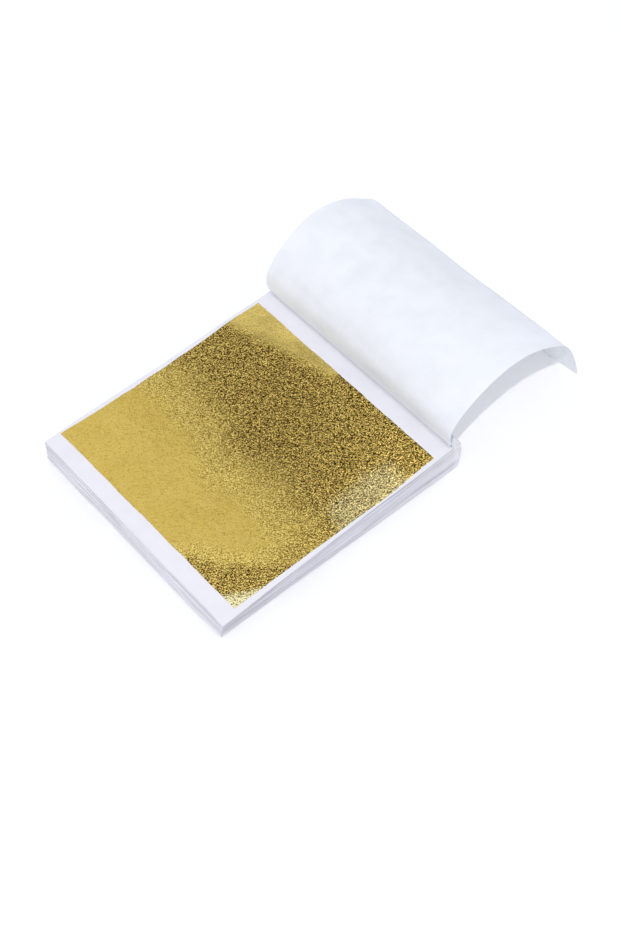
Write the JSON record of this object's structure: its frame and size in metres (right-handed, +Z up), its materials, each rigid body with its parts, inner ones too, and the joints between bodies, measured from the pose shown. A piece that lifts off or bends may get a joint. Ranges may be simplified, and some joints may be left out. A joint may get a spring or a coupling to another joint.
{
  "type": "gold leaf booklet",
  "caption": "Open pad of thin white tissue sheets glued along one edge, with a loose gold leaf on each sheet; the first sheet arches back over the spine to the table.",
  "frame": {"origin": "centre of the pad's underside, on the table", "axes": "+X from the fore-edge to the spine, +Y along the spine to the far end, +Z up"},
  "size_m": [0.1479, 0.0875, 0.034],
  "materials": {
    "tissue": "matte",
    "gold_leaf": "polished",
    "binding_glue": "satin"
  },
  "bodies": {
    "pad": {"spine_glue": "binding_glue", "glue_lines": "binding_glue", "bound_edges": "tissue", "turned_sheet_bound_edge": "tissue", "sheet_pack_01": "tissue", "sheet_pack_02": "tissue", "sheet_pack_03": "tissue", "sheet_pack_04": "tissue", "sheet_pack_05": "tissue", "sheet_pack_06": "tissue", "sheet_pack_07": "tissue", "sheet_pack_08": "tissue", "sheet_pack_09": "tissue", "sheet_pack_10": "tissue", "leaf_pack_01": "gold_leaf", "leaf_pack_02": "gold_leaf", "leaf_pack_03": "gold_leaf", "leaf_pack_04": "gold_leaf", "leaf_pack_05": "gold_leaf", "leaf_pack_06": "gold_leaf", "leaf_pack_07": "gold_leaf", "leaf_pack_08": "gold_leaf", "leaf_pack_09": "gold_leaf", "leaf_pack_10": "gold_leaf"},
    "turned_strip_01": {"turned_sheet_strip_01": "tissue"},
    "turned_strip_02": {"turned_sheet_strip_02": "tissue"},
    "turned_strip_03": {"turned_sheet_strip_03": "tissue"},
    "turned_strip_04": {"turned_sheet_strip_04": "tissue"},
    "turned_strip_05": {"turned_sheet_strip_05": "tissue"},
    "turned_strip_06": {"turned_sheet_strip_06": "tissue"},
    "turned_strip_07": {"turned_sheet_strip_07": "tissue"},
    "turned_strip_08": {"turned_sheet_strip_08": "tissue"},
    "sheet_05": {"sheet_05": "tissue", "gold_leaf_04": "gold_leaf"},
    "sheet_04": {"sheet_04": "tissue", "gold_leaf_03": "gold_leaf"},
    "sheet_03": {"sheet_03": "tissue", "gold_leaf_02": "gold_leaf"},
    "sheet_02": {"sheet_02": "tissue"},
    "gold_leaf_01": {"gold_leaf_01": "gold_leaf"}
  },
  "joints": [
    {"name": "page_turn", "type": "hinge", "parent": "pad", "child": "turned_strip_01", "pos_m": [0.0445, 0, 0.01084], "axis": [0, -1, 0], "range_deg": [0, 78]},
    {"name": "page_bend_02", "type": "hinge", "parent": "turned_strip_01", "child": "turned_strip_02", "pos_m": [0.0421, 0, 0.02215], "axis": [0, -1, 0], "range_deg": [0, 62.55]},
    {"name": "page_bend_03", "type": "hinge", "parent": "turned_strip_02", "child": "turned_strip_03", "pos_m": [0.05102, 0, 0.02949], "axis": [0, -1, 0], "range_deg": [0, 18.16]},
    {"name": "page_bend_04", "type": "hinge", "parent": "turned_strip_03", "child": "turned_strip_04", "pos_m": [0.0618, 0, 0.03369], "axis": [0, -1, 0], "range_deg": [0, 20.18]},
    {"name": "page_bend_05", "type": "hinge", "parent": "turned_strip_04", "child": "turned_strip_05", "pos_m": [0.07336, 0, 0.03392], "axis": [0, -1, 0], "range_deg": [0, 24.21]},
    {"name": "page_bend_06", "type": "hinge", "parent": "turned_strip_05", "child": "turned_strip_06", "pos_m": [0.08399, 0, 0.02938], "axis": [0, -1, 0], "range_deg": [0, 16.14]},
    {"name": "page_bend_07", "type": "hinge", "parent": "turned_strip_06", "child": "turned_strip_07", "pos_m": [0.09295, 0, 0.02206], "axis": [0, -1, 0], "range_deg": [0, 29.26]},
    {"name": "page_bend_08", "type": "hinge", "parent": "turned_strip_07", "child": "turned_strip_08", "pos_m": [0.09718, 0, 0.0113], "axis": [0, -1, 0], "range_deg": [0, 8.07]},
    {"name": "sheet_05_lift", "type": "hinge", "parent": "pad", "child": "sheet_05", "pos_m": [0.0445, 0, 0.01012], "axis": [0, -1, 0], "range_deg": [-6, 0]},
    {"name": "sheet_04_lift", "type": "hinge", "parent": "sheet_05", "child": "sheet_04", "pos_m": [0.0445, 0, 0.01022], "axis": [0, -1, 0], "range_deg": [-6, 0]},
    {"name": "sheet_03_lift", "type": "hinge", "parent": "sheet_04", "child": "sheet_03", "pos_m": [0.0445, 0, 0.01033], "axis": [0, -1, 0], "range_deg": [-6, 0]},
    {"name": "sheet_02_lift", "type": "hinge", "parent": "sheet_03", "child": "sheet_02", "pos_m": [0.0445, 0, 0.01043], "axis": [0, -1, 0], "range_deg": [-38, 0]},
    {"name": "gold_leaf_01_slide", "type": "slide", "parent": "sheet_02", "child": "gold_leaf_01", "axis": [-1, 0, 0], "range_m": [0, 0.04]}
  ],
  "couplings": [
    {"joint": "page_bend_02", "follows": "page_turn", "ratio": 0.80195},
    {"joint": "page_bend_03", "follows": "page_turn", "ratio": 0.23283},
    {"joint": "page_bend_04", "follows": "page_turn", "ratio": 0.2587},
    {"joint": "page_bend_05", "follows": "page_turn", "ratio": 0.31044},
    {"joint": "page_bend_06", "follows": "page_turn", "ratio": 0.20696},
    {"joint": "page_bend_07", "follows": "page_turn", "ratio": 0.37511},
    {"joint": "page_bend_08", "follows": "page_turn", "ratio": 0.10348}
  ]
}
